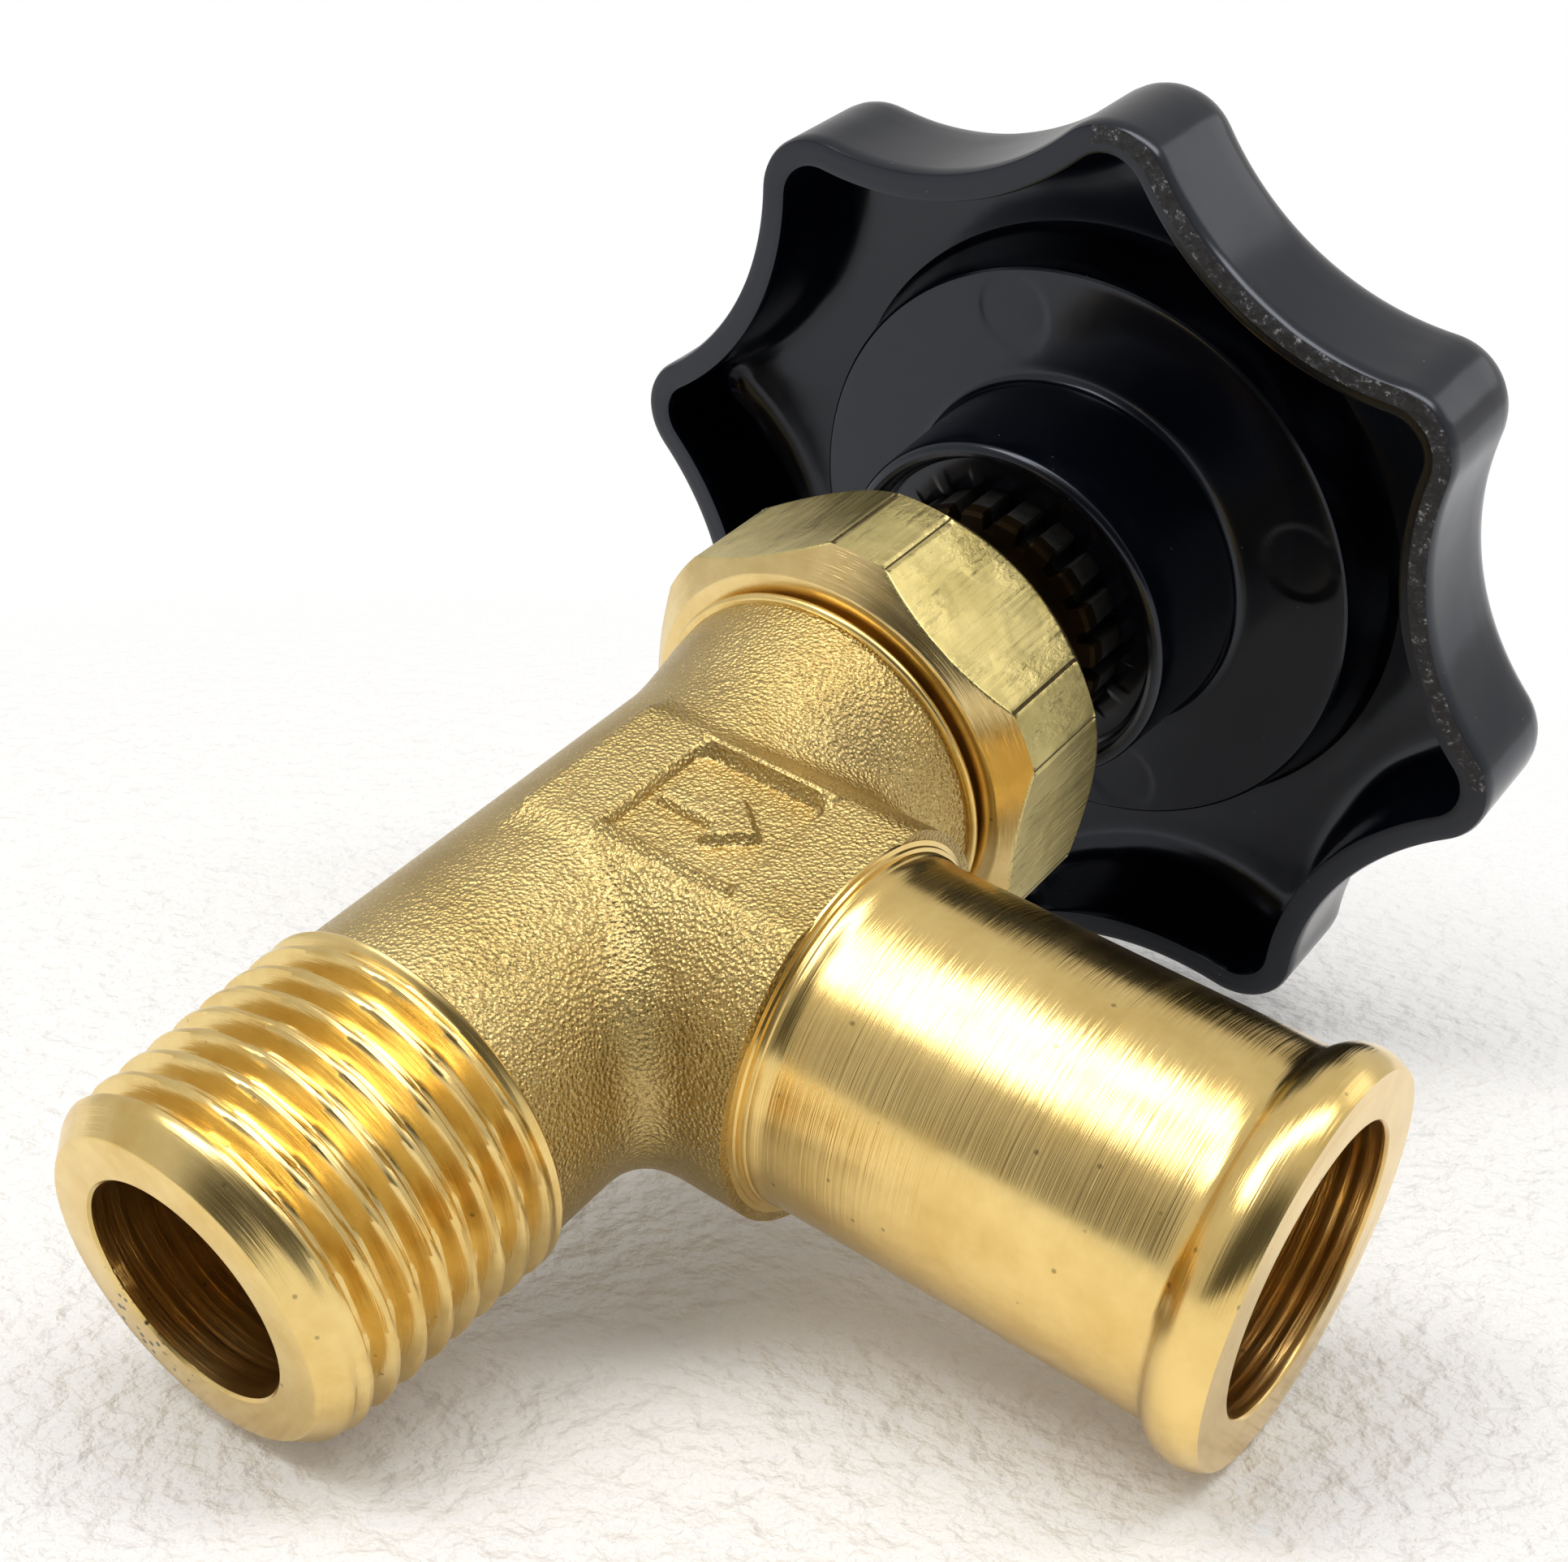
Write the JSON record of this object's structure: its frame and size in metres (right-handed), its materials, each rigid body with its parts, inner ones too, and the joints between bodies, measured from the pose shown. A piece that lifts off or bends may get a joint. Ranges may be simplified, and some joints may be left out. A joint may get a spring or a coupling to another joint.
{
  "type": "angle stop valve",
  "caption": "Brass angle valve with a male taper-thread inlet, a beaded hose outlet at right angles, a hex bonnet nut and a lobed black handwheel.",
  "frame": {"origin": "centre of the inlet end face, on the inlet and stem axis", "axes": "+Z along the stem towards the handwheel, +X out of the hose outlet, -Y through the pad with the flow arrow"},
  "size_m": [0.0612, 0.0542, 0.0737],
  "materials": {
    "forged_brass": "shot-blasted forging with turned ends",
    "turned_brass": "bright turned",
    "bar_brass": "satin drawn bar with turned chamfers",
    "rubber": "moulded nitrile rubber",
    "fibre": "pressed fibre sheet",
    "ptfe": "turned white packing",
    "spring_steel": "plain spring steel",
    "zinc_steel": "zinc plated",
    "black_plastic": "glossy black moulding"
  },
  "bodies": {
    "valve_shell": {"valve_body": "forged_brass", "bonnet_gasket": "fibre", "bonnet": "turned_brass", "packing_washer": "turned_brass", "lower_packing_ring": "ptfe", "upper_packing_ring": "ptfe", "packing_gland": "turned_brass", "dust_ring": "rubber", "bonnet_nut": "bar_brass"},
    "disc": {"seat_washer": "rubber", "washer_plate": "turned_brass", "washer_screw": "turned_brass", "disc_holder": "turned_brass", "disc_retaining_ring": "spring_steel"},
    "spindle": {"stem": "turned_brass", "handwheel": "black_plastic", "wheel_flat_washer": "zinc_steel", "wheel_spring_washer": "spring_steel", "wheel_screw": "zinc_steel", "wheel_cap": "black_plastic"}
  },
  "joints": [
    {"name": "disc_lift", "type": "slide", "parent": "valve_shell", "child": "disc", "axis": [0, 0, 1], "range_m": [-0.005, 0]},
    {"name": "wheel_turn", "type": "hinge", "parent": "disc", "child": "spindle", "pos_m": [0, 0, 0.06], "axis": [0, 0, 1], "range_deg": [-900, 0]}
  ],
  "couplings": [
    {"joint": "disc_lift", "follows": "wheel_turn", "m_per_rad": 0.0003183}
  ]
}
